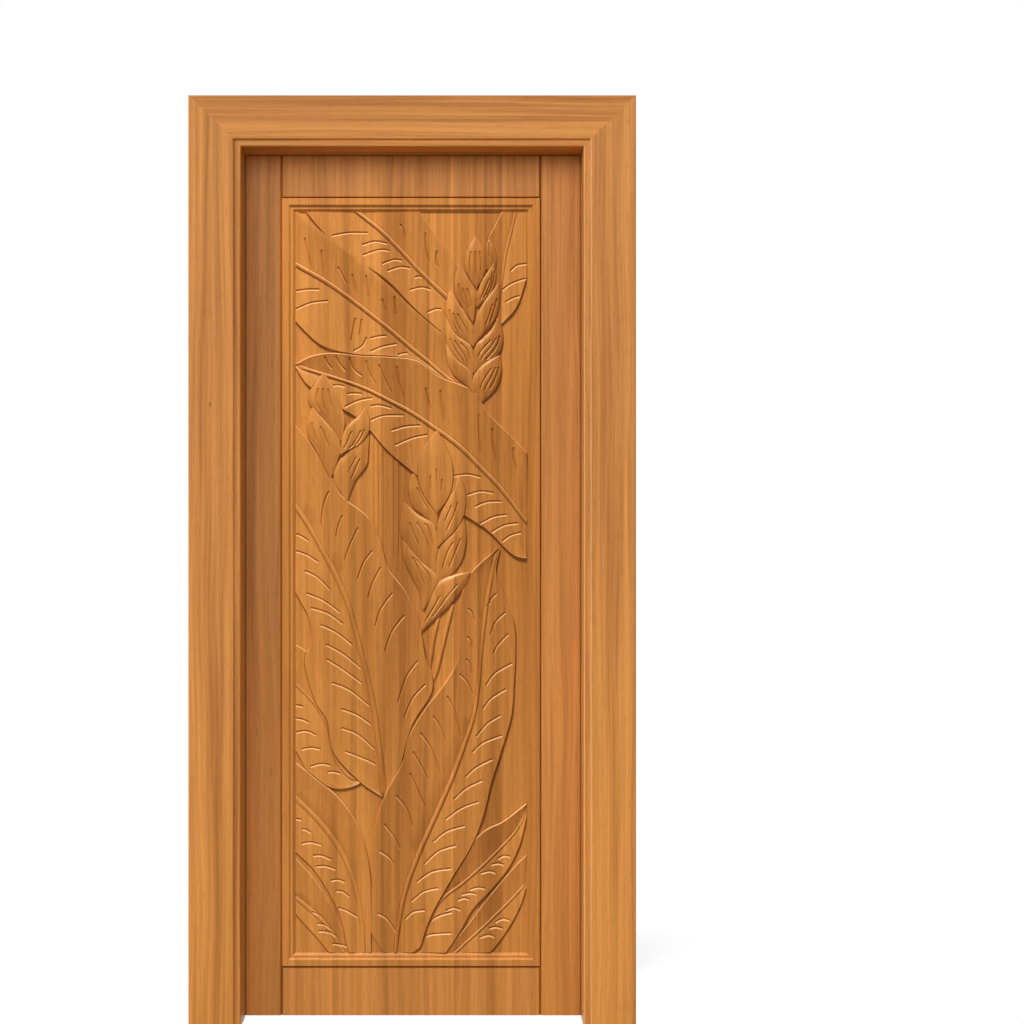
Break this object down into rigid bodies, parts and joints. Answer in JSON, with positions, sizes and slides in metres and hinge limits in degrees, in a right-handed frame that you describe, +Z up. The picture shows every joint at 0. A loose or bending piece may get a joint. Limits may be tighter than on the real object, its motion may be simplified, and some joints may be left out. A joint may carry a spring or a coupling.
{
  "type": "carved door with frame",
  "caption": "Hinged timber door with a panel carved in leaves and flowers, in a rebated frame with a mitred casing; the leaf swings away from the carved face on butt hinges.",
  "frame": {"origin": "middle of the object's footprint, on the floor", "axes": "+Z up, +X to the right seen from the carved face, +Y through the wall away from the viewer"},
  "size_m": [1.029, 0.1456, 2.142],
  "materials": {
    "teak_frame": "satin",
    "teak_casing": "satin",
    "teak_leaf": "satin",
    "teak_panel": "satin",
    "hinge_brass": "satin",
    "screw_brass": "satin"
  },
  "bodies": {
    "frame": {"hinge_jamb": "teak_frame", "lock_jamb": "teak_frame", "head_jamb": "teak_frame", "casing_left": "teak_casing", "casing_right": "teak_casing", "casing_head": "teak_casing", "frame_plate_top": "hinge_brass", "frame_plate_middle": "hinge_brass", "frame_plate_bottom": "hinge_brass", "hinge_pin_top": "hinge_brass", "hinge_pin_middle": "hinge_brass", "hinge_pin_bottom": "hinge_brass", "frame_hinge_screws": "screw_brass", "corner_screws": "screw_brass"},
    "leaf": {"hinge_stile": "teak_leaf", "lock_stile": "teak_leaf", "top_rail": "teak_leaf", "bottom_rail": "teak_leaf", "carved_panel": "teak_panel", "moulding_left": "teak_leaf", "moulding_right": "teak_leaf", "moulding_top": "teak_leaf", "moulding_bottom": "teak_leaf", "door_plate_top": "hinge_brass", "door_plate_middle": "hinge_brass", "door_plate_bottom": "hinge_brass", "door_hinge_screws": "screw_brass"}
  },
  "joints": [
    {"name": "leaf_swing", "type": "hinge", "parent": "frame", "child": "leaf", "pos_m": [-0.408, 0.0678, 1.022], "axis": [0, 0, 1], "range_deg": [0, 170]}
  ]
}
